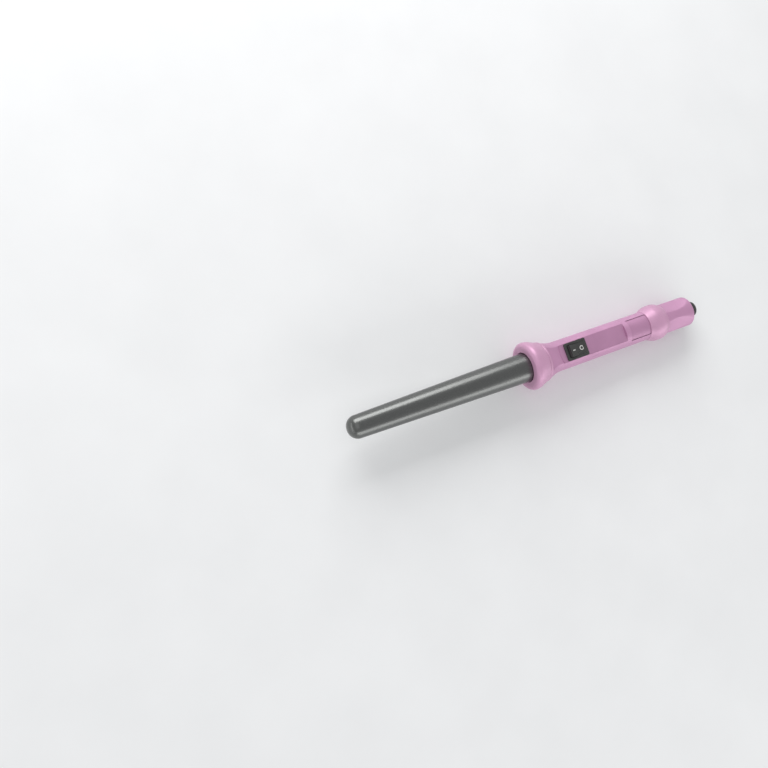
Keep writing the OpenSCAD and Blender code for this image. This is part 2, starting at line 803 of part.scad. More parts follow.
// Drum, thrust flange and neck of the swivel, hollow from the rear
module swivel_drum() {
    split = s_slip + slip_ring_pitch - (slip_ring_pitch - slip_ring_l) / 2;
    color("#3b3b3d") turned([
        [0, s_slip - 2.5], [drum_r, s_slip - 2.5], [drum_r, split - 0.4],
        [slip_ring_r + 0.5, split - 0.4], [slip_ring_r + 0.5, split + 0.4], [drum_r, split + 0.4],
        [drum_r, s_thrust], [thrust_r, s_thrust], [thrust_r, s_thrust + thrust_l],
        [neck_r, s_thrust + thrust_l], [neck_r, s_gland], [neck_bore_r, s_gland],
        [neck_bore_r, s_thrust], [drum_r - 1.6, s_thrust - 2], [drum_r - 1.6, s_slip + 1],
        [0, s_slip + 1]]);
}

module slip_rings() {
    color("#c9a24a") for (i = [0, 1]) {
        s = s_slip + i * slip_ring_pitch;
        tube(s, s + slip_ring_l, slip_ring_r, drum_r);
    }
}

// Gland outside the tail, with the mouth that the cord comes out of
module cord_gland() {
    outer = neck_r + 2.4;
    mouth = neck_r + 0.6;
    color("#2b2b2d") turned([[inlet_d / 2, s_gland], [outer - 0.6, s_gland], [outer, s_gland + 0.6],
        [outer, s_gland + 2.4], [mouth, total_l - 0.8], [mouth - 0.8, total_l],
        [inlet_d / 2, total_l]]);
}

barrel();
heat_spreader_upper();
heat_spreader_lower();
heating_stones();
electrode_strips();
insulation_film();
wedge_strip();
thermal_fuse();
fuse_sleeve();
root_bush();
root_screws();
front_collar();
bead_ring();
handle_shell_top();
handle_shell_bottom();
handle_screws();
switch_panel();
rear_pad();
switch_body();
switch_terminals();
terminal_boots();
rocker();
plunger();
plunger_spring();
contact_arm();
fuse_lead();
neutral_lead();
live_lead();
brush_holder();
brushes();
rear_collar();
tail_housing();
tail_screw();
swivel_bearing();
thrust_washer();
swivel_drum();
slip_rings();
cord_gland();
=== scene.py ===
# %% [markdown]
# # A tapered curling wand, finished around its CAD frame
#
# The CAD frame holds every part at its real size. Here the parts that show are made again as
# smooth, rounded meshes, and every part gets a finish. The frame is loaded first, because each
# piece takes its place from the part it stands for. Reading the boxes of the parts is safer than
# typing sizes in: if the design changes, the pieces follow it.

# %% Load the frame
import json
import math

import bmesh
import bpy
from mathutils import Matrix, Vector


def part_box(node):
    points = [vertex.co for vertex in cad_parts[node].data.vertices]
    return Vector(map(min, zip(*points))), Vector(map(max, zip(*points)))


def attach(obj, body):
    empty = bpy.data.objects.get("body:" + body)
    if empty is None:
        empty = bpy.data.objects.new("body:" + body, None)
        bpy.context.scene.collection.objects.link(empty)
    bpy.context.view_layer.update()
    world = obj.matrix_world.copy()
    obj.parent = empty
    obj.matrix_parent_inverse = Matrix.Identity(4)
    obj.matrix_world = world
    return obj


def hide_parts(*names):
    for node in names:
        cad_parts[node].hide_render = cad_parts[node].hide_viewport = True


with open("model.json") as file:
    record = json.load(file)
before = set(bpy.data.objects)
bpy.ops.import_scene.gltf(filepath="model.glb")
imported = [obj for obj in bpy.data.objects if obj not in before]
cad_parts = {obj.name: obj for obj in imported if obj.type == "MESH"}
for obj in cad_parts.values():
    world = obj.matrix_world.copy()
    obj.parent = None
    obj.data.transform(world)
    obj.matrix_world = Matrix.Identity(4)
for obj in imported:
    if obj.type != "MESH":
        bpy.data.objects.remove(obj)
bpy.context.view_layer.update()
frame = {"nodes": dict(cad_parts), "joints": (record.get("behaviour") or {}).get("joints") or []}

# %% [markdown]
# The wand lies along X. Its own axis is a line at one height, found from the middle of the
# barrel's box. Most pieces are round about that line, so a piece is described by stations along X
# and radii from the axis, both in metres. `MM` keeps small sizes readable.

# %% Read the main stations
MM = 0.001


def span(node):
    """Low station, high station and radius of a part that is round about the wand's axis."""
    low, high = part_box(node)
    return low[0], high[0], (high[1] - low[1]) / 2


tip_x, barrel_back, root_r = span("barrel")
barrel_low, barrel_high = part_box("barrel")
AXIS_Z = (barrel_low[2] + barrel_high[2]) / 2
collar_x, _, flange_r = span("front_collar")
ring_x, handle_x, _ = span("bead_ring")
rear_x, _, bulge_r = span("rear_collar")
tail_x, tail_end, _ = span("tail_housing")
gland_x, gland_end, gland_r = span("cord_gland")
print(f"barrel {(collar_x - tip_x) / MM:.1f} mm, handle {(rear_x - handle_x) / MM:.1f} mm")

# %% [markdown]
# ## The camera, floor and lights
#
# The camera looks down on the barrel from beyond its tip, and is rolled so that the wand climbs
# across the frame to the upper right. A camera can be aimed with a Track To constraint, but that
# fixes its roll. Building its matrix from a forward and an up direction keeps all three turns.

# %% Camera
LENS = 46.71
forward = Vector((0.36837, 0.03146, -0.92915)).normalized()
up_hint = Vector((0.29839, 0.94255, 0.15021))
camera_back = Vector((-0.25023, 0.0, 0.73612))


def aimed(position, forward, up_hint):
    """Matrix that puts a camera or a lamp at a position, looking along forward."""
    right = forward.cross(up_hint).normalized()
    up = right.cross(forward)
    turn = Matrix((right, up, -forward)).transposed().to_4x4()
    return Matrix.Translation(position) @ turn


camera_data = bpy.data.cameras.new("camera")
camera_data.lens = LENS
camera_data.sensor_width = 36.0
camera_data.clip_start = 0.01
camera = bpy.data.objects.new("camera", camera_data)
camera.matrix_world = aimed(Vector((tip_x, 0, AXIS_Z)) + camera_back, forward, up_hint)
bpy.context.scene.collection.objects.link(camera)
bpy.context.scene.camera = camera
print("camera at", [round(v, 3) for v in camera.location])

# %% [markdown]
# A wand laid on a table touches it with the collar's lip and the rear collar's bulge. The floor is
# tilted by that small angle, because the wand itself stays level in its frame.

# %% Floor
lip = 8.2 * MM
lip_round = lip / 2
lip_x = collar_x + lip_round
bulge_x = rear_x + 0.585 * (tail_x - rear_x)
floor_tilt = math.atan2(flange_r - bulge_r, bulge_x - lip_x)


def add_mesh(name, bm):
    """New object from a bmesh, which is used up."""
    mesh = bpy.data.meshes.new(name)
    bm.to_mesh(mesh)
    bm.free()
    obj = bpy.data.objects.new(name, mesh)
    bpy.context.scene.collection.objects.link(obj)
    return obj


FLOOR_HALF = 6.0
CLEARANCE = 0.05 * MM
floor_bm = bmesh.new()
bmesh.ops.create_grid(floor_bm, x_segments=1, y_segments=1, size=FLOOR_HALF)
bmesh.ops.rotate(floor_bm, verts=floor_bm.verts, matrix=Matrix.Rotation(-floor_tilt, 3, "Y"))
floor_drop = flange_r / math.cos(floor_tilt) - flange_r
bmesh.ops.translate(floor_bm, verts=floor_bm.verts, vec=(lip_x, 0, -floor_drop - CLEARANCE))
floor = add_mesh("floor", floor_bm)
print(f"floor tilted {math.degrees(floor_tilt):.2f} degrees")

# %% [markdown]
# A long softbox on each side draws a bright streak along the barrel and leaves the middle dark,
# which is how polished rods are lit. A third one near the tail lifts the right side of the handle,
# a low card draws a line on the nose, and a weak lamp above fills the shadows. A lamp twice as far
# and twice as large lights the wand the same, and leaves no bright pool on the floor near it.

# %% Lights
def softbox(name, position, target, size, power):
    """Rectangular lamp at a position, facing a target, with its long side level."""
    data = bpy.data.lights.new(name, "AREA")
    data.shape = "RECTANGLE"
    data.size, data.size_y = size
    data.energy = power
    lamp = bpy.data.objects.new(name, data)
    position = Vector(position)
    direction = (Vector(target) - position).normalized()
    lamp.matrix_world = aimed(position, direction, Vector((0, 0, 1)))
    bpy.context.scene.collection.objects.link(lamp)


softbox("strip_left", (-0.08, 1.24, 0.68), (-0.06, 0, 0.02), (1.5, 0.80), 15.3)
softbox("strip_right", (0.02, -1.32, 0.40), (-0.02, 0, 0.02), (2.0, 0.62), 8.6)
softbox("handle_kick", (1.25, -1.1, 0.5), (0.06, 0, 0.02), (0.7, 0.68), 3.4)
softbox("tip_card", (-0.95, 0.05, 0.09), (-0.17, 0, 0.02), (1.2, 0.14), 0.9)
softbox("fill", (-0.6, 0.1, 1.1), (0, 0, 0), (1.0, 0.8), 1.0)

world = bpy.data.worlds.new("studio")
world.use_nodes = True
background = world.node_tree.nodes["Background"]
background.inputs["Color"].default_value = (0.93, 0.94, 0.95, 1)
background.inputs["Strength"].default_value = 0.55
bpy.context.scene.world = world
bpy.context.scene.view_settings.view_transform = "Standard"

# %% [markdown]
# ## Finishes
#
# Each finish is a node tree that starts from a Principled shader. Values that are the same all over
# sit on the shader itself. What varies, such as the flakes in the coating or the tiny waves of
# soft-touch lacquer, comes from noise in Object coordinates, so it stays put on the piece.

# %% Material helpers
def new_material(name, color, metallic=0.0, roughness=0.5, coat=0.0, coat_roughness=0.1,
                 specular=0.5):
    """Material with a Principled shader whose constants sit on its own sockets."""
    material = bpy.data.materials.new(name)
    material.use_nodes = True
    shader = material.node_tree.nodes["Principled BSDF"]
    shader.inputs["Base Color"].default_value = (*color, 1)
    shader.inputs["Metallic"].default_value = metallic
    shader.inputs["Roughness"].default_value = roughness
    shader.inputs["Coat Weight"].default_value = coat
    shader.inputs["Coat Roughness"].default_value = coat_roughness
    shader.inputs["Specular IOR Level"].default_value = specular
    return material


def add_node(material, kind, **inputs):
    """Node of a kind in a material, with some of its inputs set."""
    node = material.node_tree.nodes.new(kind)
    for key, value in inputs.items():
        node.inputs[key.replace("_", " ")].default_value = value
    return node


def link(material, source, target):
    """Wire from an output to an input."""
    material.node_tree.links.new(source, target)


def object_point(material, scale):
    """Object coordinates stretched by a scale for each axis."""
    coordinates = add_node(material, "ShaderNodeTexCoord")
    mapping = add_node(material, "ShaderNodeMapping", Scale=scale)
    link(material, coordinates.outputs["Object"], mapping.inputs["Vector"])
    return mapping.outputs["Vector"]


def noise(material, scale, detail=3.0, stretch=(1, 1, 1)):
    """Noise value in Object coordinates, with its scale in waves per metre."""
    texture = add_node(material, "ShaderNodeTexNoise", Scale=scale, Detail=detail)
    link(material, object_point(material, stretch), texture.inputs["Vector"])
    return texture.outputs["Fac"]


def spread(material, value, low, high):
    """Noise's usual range moved to a range of roughness."""
    ranged = add_node(material, "ShaderNodeMapRange", From_Min=0.3, From_Max=0.7,
                      To_Min=low, To_Max=high)
    link(material, value, ranged.inputs["Value"])
    return ranged.outputs["Result"]


def blend_colors(material, value, first, second, low=0.3, high=0.7):
    """Colour that goes from first to second as a value rises."""
    ramp = add_node(material, "ShaderNodeValToRGB")
    ramp.color_ramp.elements[0].position = low
    ramp.color_ramp.elements[0].color = (*first, 1)
    ramp.color_ramp.elements[1].position = high
    ramp.color_ramp.elements[1].color = (*second, 1)
    link(material, value, ramp.inputs["Fac"])
    return ramp.outputs["Color"]


def bump(material, value, height, strength=1.0):
    """Bump of a height in metres, wired to the shader's normal."""
    node = add_node(material, "ShaderNodeBump", Strength=strength, Distance=height)
    link(material, value, node.inputs["Height"])
    wire(material, node.outputs["Normal"], "Normal")


def wire(material, source, socket):
    """Wire from an output to one of the shader's sockets."""
    link(material, source, material.node_tree.nodes["Principled BSDF"].inputs[socket])


# %% [markdown]
# The barrel's coating is a fired ceramic paint with ground tourmaline in it: dark, metallic and
# satin, with tiny flakes that catch the light one by one. Voronoi cells a few tenths of a
# millimetre across give each flake its own shade, and very fine waves around the barrel remain
# from the polishing of the tube below.

# %% Graphite ceramic coating
FLAKE_SCALE = 2600.0
POLISH_SCALE = 2200.0


def ceramic_coating():
    material = new_material("graphite_ceramic", (0.15, 0.152, 0.15), metallic=0.95, roughness=0.3,
                            coat=0.1, coat_roughness=0.2)
    flakes = add_node(material, "ShaderNodeTexVoronoi", Scale=FLAKE_SCALE)
    link(material, object_point(material, (1, 1, 1)), flakes.inputs["Vector"])
    shade = add_node(material, "ShaderNodeSeparateColor")
    link(material, flakes.outputs["Color"], shade.inputs["Color"])
    color = blend_colors(material, shade.outputs["Red"], (0.138, 0.142, 0.139),
                         (0.172, 0.174, 0.17), 0.35, 1.0)
    wire(material, color, "Base Color")
    cloud = noise(material, 60.0, detail=4.0, stretch=(0.35, 1, 1))
    wire(material, spread(material, cloud, 0.28, 0.33), "Roughness")
    polish = noise(material, POLISH_SCALE, detail=2.0, stretch=(3, 1, 1))
    bump(material, polish, 0.001 * MM, 0.3)
    return material


graphite = ceramic_coating()

# %% [markdown]
# The handle is moulded plastic under a pearl lacquer that feels like rubber. Pearl pigment makes it
# part metallic: it darkens where it faces the eye and lights up toward a lamp at the side. The
# lacquer has a faint orange peel, and its sheen varies a little from place to place.

# %% Orchid lacquer
def orchid_lacquer(name, color, roughness):
    material = new_material(name, color, metallic=0.25, roughness=roughness, coat=0.12,
                            coat_roughness=0.35)
    deeper = tuple(0.93 * c for c in color)
    lighter = tuple(min(1.0, 1.05 * c) for c in color)
    tone = noise(material, 45.0, detail=5.0)
    wire(material, blend_colors(material, tone, deeper, lighter), "Base Color")
    sheen = noise(material, 160.0, detail=4.0)
    wire(material, spread(material, sheen, roughness - 0.03, roughness + 0.05), "Roughness")
    bump(material, noise(material, 1100.0, detail=3.0), 0.012 * MM, 0.5)
    return material


shell_paint = orchid_lacquer("orchid_shell", (0.54, 0.275, 0.445), 0.46)
# Lighter copy of the shell's lacquer for the collars and the bead: painted light where these parts
# catch the lamps.
collar_paint_lit = orchid_lacquer("orchid_collar_lit_copy", (0.60, 0.325, 0.49), 0.43)
# Darker copy of the shell's lacquer for the switch panel and the rear pad: painted shade on their
# faces toward the eye.
panel_paint_shaded = orchid_lacquer("orchid_panel_shaded_copy", (0.47, 0.235, 0.385), 0.5)

# %% [markdown]
# The switch is nylon, moulded black in a fine-sparked tool: satin on its rim and glossier on the
# rocker, which fingers polish. Its marks are printed in pale ink.

# %% Blacks and ink
def black_plastic(name, roughness, grain, depth):
    material = new_material(name, (0.04, 0.04, 0.039), roughness=roughness)
    wear = noise(material, 120.0, detail=4.0)
    wire(material, spread(material, wear, roughness - 0.05, roughness + 0.07), "Roughness")
    color = blend_colors(material, wear, (0.034, 0.034, 0.033), (0.05, 0.05, 0.048))
    wire(material, color, "Base Color")
    bump(material, noise(material, grain, detail=2.0), depth, 0.6)
    return material


def printed_ink():
    material = new_material("pale_ink", (0.62, 0.61, 0.59), roughness=0.5)
    speck = noise(material, 2500.0, detail=2.0)
    color = blend_colors(material, speck, (0.52, 0.51, 0.5), (0.68, 0.67, 0.65))
    wire(material, color, "Base Color")
    return material


rim_black = black_plastic("switch_rim_black", 0.42, 1800.0, 0.012 * MM)
rocker_black = black_plastic("rocker_black", 0.25, 900.0, 0.004 * MM)
gland_black = black_plastic("gland_black", 0.5, 1400.0, 0.015 * MM)
ink = printed_ink()

# %% [markdown]
# The parts inside keep their CAD shapes. They get plain workshop finishes: drawn metal with fine
# lines, cast ceramic with pits, amber film, woven sleeving and natural nylon.

# %% Workshop finishes
def drawn_metal(name, color, roughness, stretch=(0.05, 1, 1)):
    material = new_material(name, color, metallic=1.0, roughness=roughness)
    lines = noise(material, 2200.0, detail=3.0, stretch=stretch)
    wire(material, spread(material, lines, roughness - 0.07, roughness + 0.1), "Roughness")
    duller = tuple(0.85 * c for c in color)
    wire(material, blend_colors(material, noise(material, 130.0), duller, color), "Base Color")
    bump(material, lines, 0.004 * MM, 0.5)
    return material


def moulded(name, color, roughness, grain=900.0, depth=0.02 * MM, variation=0.1):
    material = new_material(name, color, roughness=roughness)
    tone = noise(material, 200.0, detail=5.0)
    darker = tuple((1 - variation) * c for c in color)
    wire(material, blend_colors(material, tone, darker, color), "Base Color")
    bump(material, noise(material, grain, detail=4.0), depth, 0.6)
    return material


def woven_sleeve():
    material = new_material("woven_sleeve", (0.78, 0.75, 0.68), roughness=0.8)
    weave = add_node(material, "ShaderNodeTexWave", Scale=900.0, Distortion=1.5, Detail=2.0)
    link(material, object_point(material, (1, 1, 1)), weave.inputs["Vector"])
    color = blend_colors(material, weave.outputs["Fac"], (0.6, 0.57, 0.5), (0.82, 0.8, 0.74),
                         0.2, 0.8)
    wire(material, color, "Base Color")
    bump(material, weave.outputs["Fac"], 0.05 * MM, 0.7)
    return material


aluminium = drawn_metal("drawn_aluminium", (0.78, 0.79, 0.81), 0.34)
steel = drawn_metal("zinc_plated_steel", (0.6, 0.61, 0.63), 0.3, stretch=(1, 1, 1))
brass = drawn_metal("rolled_brass", (0.79, 0.6, 0.28), 0.28, stretch=(1, 0.05, 1))
insulator = moulded("brown_insulator", (0.11, 0.075, 0.055), 0.6)
nylon = moulded("natural_nylon", (0.84, 0.82, 0.76), 0.45, 600.0, 0.01 * MM)
heating_ceramic = moulded("heating_ceramic", (0.62, 0.57, 0.5), 0.75, 2400.0, 0.04 * MM, 0.2)
amber_film = moulded("amber_film", (0.55, 0.22, 0.04), 0.22, 300.0, 0.03 * MM)
boot_vinyl = moulded("clear_vinyl", (0.68, 0.7, 0.72), 0.35, 500.0, 0.015 * MM)
sleeve = woven_sleeve()

INNER_FINISHES = (
    (aluminium, ("heat_spreader_upper", "heat_spreader_lower")),
    (heating_ceramic, ("heating_stones",)),
    (amber_film, ("insulation_film",)),
    (steel, ("wedge_strip", "thermal_fuse", "root_screws", "handle_screws", "tail_screw",
             "plunger_spring")),
    (brass, ("electrode_strips", "switch_terminals", "contact_arm", "brushes", "slip_rings")),
    (sleeve, ("fuse_sleeve", "fuse_lead", "neutral_lead", "live_lead")),
    (insulator, ("root_bush", "brush_holder")),
    (boot_vinyl, ("terminal_boots",)),
    (nylon, ("plunger", "swivel_bearing", "thrust_washer")),
    (gland_black, ("swivel_drum",)),
)

finished = 0
for material, nodes in INNER_FINISHES:
    for node in nodes:
        mesh = frame["nodes"][node].data
        mesh.materials.clear()
        mesh.materials.append(material)
        finished += 1
print(finished, "inner parts finished")

# %% [markdown]
# ## Round pieces
#
# The barrel, the collars, the bead and the gland are turned shapes. A closed outline of stations
# and radii is drawn as a chain of edges and spun about the axis. A lathe-like Screw modifier would
# do the same, but the operator leaves a plain mesh that the next steps can still shape.

# %% Turning helpers
def arc(x, r, radius, start, end, steps):
    """Points along an arc about a centre station and radius, angles in degrees from the axis."""
    points = []
    for i in range(steps + 1):
        angle = math.radians(start + (end - start) * i / steps)
        points.append((x + radius * math.cos(angle), r + radius * math.sin(angle)))
    return points


def turned(outline, steps, subdivide=0.0):
    """Closed bmesh spun about the wand's axis from a loop of (station, radius) points.

    Edges longer than subdivide, where it is given, are cut into equal shorter ones.
    """
    bm = bmesh.new()
    points = []
    for first, second in zip(outline, outline[1:] + outline[:1]):
        length = math.dist(first, second)
        count = max(1, math.ceil(length / subdivide)) if subdivide else 1
        points += [(first[0] + (second[0] - first[0]) * i / count,
                    first[1] + (second[1] - first[1]) * i / count) for i in range(count)]
    verts = [bm.verts.new((x, 0, AXIS_Z + r)) for x, r in points]
    edges = [bm.edges.new((a, b)) for a, b in zip(verts, verts[1:] + verts[:1])]
    bmesh.ops.spin(bm, geom=verts + edges, cent=(0, 0, AXIS_Z), axis=(1, 0, 0),
                   angle=2 * math.pi, steps=steps, use_merge=True, use_normal_flip=False,
                   use_duplicate=False)
    bmesh.ops.remove_doubles(bm, verts=bm.verts, dist=0.001 * MM)
    bmesh.ops.dissolve_degenerate(bm, edges=bm.edges, dist=0.0005 * MM)
    bmesh.ops.recalc_face_normals(bm, faces=bm.faces)
    return bm


def smooth(obj, angle):
    """Smooth shading, with edges sharper than an angle kept crisp."""
    for face in obj.data.polygons:
        face.use_smooth = True
    obj.data.set_sharp_from_angle(angle=math.radians(angle))


def place(obj, material, slot, body, *nodes):
    """Gives a finished piece its finish and its body, and hides the parts it stands for. The slot
    is not used.
    """
    obj.data.materials.clear()
    obj.data.materials.append(material)
    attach(obj, body)
    if nodes:
        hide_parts(*nodes)
    print(f"{obj.name}: {len(obj.data.polygons)} faces")


# %% [markdown]
# The barrel is one drawn tube with a closed nose. Its taper is straight, and its nose is rounded
# so that hair slides off. The pole at the very tip is closed by merging the ring of zero radius.

# %% Barrel
nose = 8.6 * MM
wall = 1.2 * MM
tip_r = 9.6 * MM
barrel_outline = (
    [(tip_x, 0.0)]
    + arc(tip_x + nose, tip_r - nose, nose, 180, 90, 20)
    + [(collar_x, root_r), (barrel_back, root_r)]
    + [(barrel_back, root_r - wall), (collar_x, root_r - wall)]
    + arc(tip_x + nose, tip_r - nose, nose - wall, 90, 180, 12)
    + [(tip_x + wall, 0.0)]
)
barrel = add_mesh("ceramic_barrel", turned(barrel_outline, steps=128, subdivide=6 * MM))
smooth(barrel, 32)
place(barrel, graphite, "ceramic_coat", "handle", "barrel")

# %% [markdown]
# The front collar keeps the hand off the barrel. A half-round lip leads into a flare with a fine
# step between them. Where the barrel enters, a small chamfer leaves a thin dark ring of shadow.

# %% Front collar
flare_slope = 0.36
flare_end_r = 16.35 * MM


def flare_r(x):
    """Radius of the cone behind the lip at a station."""
    return flare_end_r + flare_slope * (handle_x - x)


lip_back = collar_x + lip
bore_r = flare_end_r - 0.6 * MM
inside_x = collar_x + 3.2 * MM
step = 0.15 * MM
heel_round = 0.75 * MM
entry = root_r + 0.12 * MM
collar_outline = (
    [(collar_x + 0.7 * MM, entry), (collar_x, root_r + 0.75 * MM)]
    + arc(collar_x + lip_round, flange_r - lip_round, lip_round, 180, 90, 16)
    + arc(lip_back - 0.9 * MM, flare_r(lip_back) - 0.25 * MM, heel_round, 78, 20, 5)
    + [(lip_back + step, flare_r(lip_back + step))]
    + [(ring_x - 0.12 * MM, flare_r(ring_x - 0.12 * MM)), (ring_x, flare_r(ring_x) - step)]
    + [(ring_x, bore_r), (ring_x - 3 * MM, bore_r)]
    + [(inside_x, flare_r(inside_x) - 2.2 * MM), (inside_x, entry)]
)
front_collar = add_mesh("hand_guard_collar", turned(collar_outline, steps=160, subdivide=2 * MM))
smooth(front_collar, 40)
place(front_collar, collar_paint_lit, "lilac_collar", "handle", "front_collar")

# %% [markdown]
# The bead ring closes the joint between the collar and the handle: a low half-round band that
# stands just proud of the flare.

# %% Bead ring
BEAD_STEPS = 8
bead_h = 0.35 * MM
bead_edge = 0.1 * MM
bead_outline = [(ring_x, bore_r), (ring_x, flare_r(ring_x) - bead_edge / 2)]
for i in range(BEAD_STEPS + 1):
    t = i / BEAD_STEPS
    x = ring_x + bead_edge + (handle_x - ring_x - 2 * bead_edge) * t
    bead_outline.append((x, flare_r(x) + bead_h * math.sqrt(max(0.0, 1 - (2 * t - 1) ** 4))))
bead_outline += [(handle_x, flare_end_r - bead_edge / 2), (handle_x, bore_r)]
bead = add_mesh("bead_band", turned(bead_outline, steps=160))
smooth(bead, 50)
place(bead, collar_paint_lit, "lilac_collar", "handle", "bead_ring")

# %% [markdown]
# ## The handle's shells
#
# Each shell is half of a turned tube, but the upper one has a flat facet down the flare, a seat for
# the switch panel and a seat for the rear pad. Cutting these with booleans would leave ragged
# n-gons that bevel badly. Instead one cross-section is drawn as a loop of edges and extruded along
# the handle, and each new ring is moved to the outline that belongs to its station. All rings have
# the same number of points, so every edge of a seat is a clean loop that a bevel can follow.

# %% Handle outline
panel_low, panel_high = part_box("switch_panel")
pad_low, pad_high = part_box("rear_pad")
panel_top = panel_high[2] - AXIS_Z
seat_z = panel_low[2] - AXIS_Z
panel_x, panel_end = panel_low[0], panel_high[0]
panel_half = panel_high[1]
pad_half = pad_high[1]
grip_r0 = 13.0 * MM
grip_r1 = 12.65 * MM
blend_r = 30 * MM
flare_angle = math.atan(flare_slope)
grip_x = handle_x + (flare_end_r - grip_r0) / flare_slope + blend_r * math.tan(flare_angle / 2)
cone_end = grip_x - blend_r * math.sin(flare_angle)


def handle_r(x):
    """Radius of the handle's outside: a cone, a blend and a slim taper."""
    if x < cone_end:
        return flare_r(x)
    if x < grip_x:
        return grip_r0 + blend_r - math.sqrt(blend_r ** 2 - (grip_x - x) ** 2)
    return grip_r0 + (grip_r1 - grip_r0) * (x - grip_x) / (rear_x - grip_x)


facet_high = flare_end_r - 3.65 * MM
facet_low = panel_top - 0.4 * MM


def facet_z(x):
    """Height of the sloping facet between the bead and the panel."""
    share = (x - handle_x) / (panel_x - handle_x)
    return facet_high + (facet_low - facet_high) * share


ARC_STEPS = 30
FLOOR_STEPS = 12
HOLLOW_STEPS = 32


def upper_section(radius, edge_y, floor):
    """Outline over the top of the handle, from +Y to -Y: arc, seat wall, seat floor and back."""
    edge_angle = math.acos(min(1.0, edge_y / radius))
    angles = [edge_angle * i / ARC_STEPS for i in range(ARC_STEPS + 1)]
    side = [(radius * math.cos(angle), radius * math.sin(angle)) for angle in angles]
    widths = [edge_y * (1 - i / FLOOR_STEPS) for i in range(FLOOR_STEPS + 1)]
    half = side + [(y, floor(y)) for y in widths]
    return half + [(-y, z) for y, z in half[-2::-1]]


def hollow_section(radius, roof):
    """Outline of the hollow below a flat roof, from -Y back to +Y."""
    angles = [math.pi * (1 - i / HOLLOW_STEPS) for i in range(HOLLOW_STEPS + 1)]
    return [(radius * math.cos(a), min(roof, radius * math.sin(a))) for a in angles]


# %% [markdown]
# The rings are listed from front to back. Where a seat begins or ends, two rings share one station,
# and the points that coincide are merged afterwards.

# %% Lofting helper
def new_verts(made):
    """Vertices among what an extrude operator made."""
    return [v for v in made["geom"] if isinstance(v, bmesh.types.BMVert)]


def lofted(rings):
    """Closed bmesh through rings, each a station and a loop of (y, height above the axis)."""
    bm = bmesh.new()
    station, section = rings[0]
    verts = [bm.verts.new((station, y, AXIS_Z + z)) for y, z in section]
    edges = [bm.edges.new((a, b)) for a, b in zip(verts, verts[1:] + verts[:1])]
    bmesh.ops.contextual_create(bm, geom=edges)
    for station, section in rings[1:]:
        made = set(new_verts(bmesh.ops.extrude_edge_only(bm, edges=edges)))
        across = [[e.other_vert(v) for e in v.link_edges] for v in verts]
        verts = [next(v for v in others if v in made) for others in across]
        for vert, (y, z) in zip(verts, section):
            vert.co = Vector((station, y, AXIS_Z + z))
        edges = [bm.edges.get((a, b)) for a, b in zip(verts, verts[1:] + verts[:1])]
    bmesh.ops.contextual_create(bm, geom=edges)
    bmesh.ops.remove_doubles(bm, verts=bm.verts, dist=0.002 * MM)
    bmesh.ops.dissolve_degenerate(bm, edges=bm.edges, dist=0.001 * MM)
    bmesh.ops.recalc_face_normals(bm, faces=bm.faces)
    return bm


def stations(start, end, step):
    """Evenly spaced stations from start to end, both included."""
    count = max(1, round((end - start) / step))
    return [start + (end - start) * i / count for i in range(count + 1)]


# %% Upper shell
shell_low, shell_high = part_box("handle_shell_top")
spigot_front = shell_low[0]
spigot_r = 15.6 * MM
bush_bore_r = 14.1 * MM
cavity_r = grip_r1 - 2 * MM
roof_z = seat_z - 1.3 * MM
bush_end = barrel_back + 3.2 * MM
wide_spigot_r = grip_r1 - 1.45 * MM
narrow_spigot_r = 9.5 * MM
seat_half = panel_half + 0.1 * MM
seat_x = panel_x + 1.5 * MM
pad_seat_half = pad_half + 0.12 * MM
pad_seat_x = pad_low[0] - 0.1 * MM
pad_floor_r = grip_r1 - 1.65 * MM
bearing_bore = 8 * MM
FREE = 1.0


def round_floor(radius):
    """Seat floor that follows a circle about the wand's axis."""
    return lambda y: math.sqrt(max(0.0, radius ** 2 - y ** 2))


def flat_floor(height):
    """Seat floor at one height."""
    return lambda y: height


def upper_ring(x, radius, edge_y, floor, bore=cavity_r, roof=roof_z):
    """One ring of the upper shell: its outside, then its hollow."""
    return x, upper_section(radius, edge_y, floor) + hollow_section(bore, roof)


def spigot_ring(x, radius, edge_y, bore, roof=FREE):
    """Ring of a plain round spigot, which has no seat."""
    return upper_ring(x, radius, edge_y, round_floor(radius), bore, roof)


def facet_ring(x):
    """Ring of the flare, where a sloping facet is cut across its top."""
    radius = handle_r(x)
    height = facet_z(x)
    return upper_ring(x, radius, math.sqrt(radius ** 2 - height ** 2), flat_floor(height))


front_edge, rear_edge = 9 * MM, 7 * MM
rings = [
    spigot_ring(spigot_front, spigot_r, front_edge, bush_bore_r),
    spigot_ring(bush_end, spigot_r, front_edge, bush_bore_r),
    spigot_ring(bush_end, spigot_r, front_edge, cavity_r, roof_z),
    spigot_ring(handle_x, spigot_r, front_edge, cavity_r, roof_z),
]
rings += [facet_ring(x) for x in stations(handle_x, seat_x, 0.7 * MM)]
seat_end = panel_end + 0.1 * MM
for x in stations(seat_x, seat_end, 2.0 * MM):
    rings.append(upper_ring(x, handle_r(x), seat_half, flat_floor(seat_z)))
for x in stations(seat_end, pad_seat_x, 1.2 * MM):
    share = (x - panel_end) / (pad_seat_x - panel_end)
    edge = seat_half + (pad_seat_half - seat_half) * min(1.0, max(0.0, share))
    rings.append(upper_ring(x, handle_r(x), edge, round_floor(handle_r(x))))
for x in stations(pad_seat_x, rear_x, 2.0 * MM):
    rings.append(upper_ring(x, handle_r(x), pad_seat_half, round_floor(pad_floor_r)))
rings += [
    spigot_ring(rear_x, wide_spigot_r, rear_edge, cavity_r - 1.25 * MM),
    spigot_ring(tail_x, wide_spigot_r, rear_edge, bearing_bore),
    spigot_ring(tail_x, narrow_spigot_r, rear_edge, bearing_bore),
    spigot_ring(shell_high[0], narrow_spigot_r, rear_edge, bearing_bore),
]
print(len(rings), "rings of", len(rings[0][1]), "points")

# %% [markdown]
# Holes are cut with booleans. A boolean could stay live, but applied once it leaves a plain mesh
# that can be bevelled. The upper shell gets the window that the switch drops through, and its edges
# are softened last.

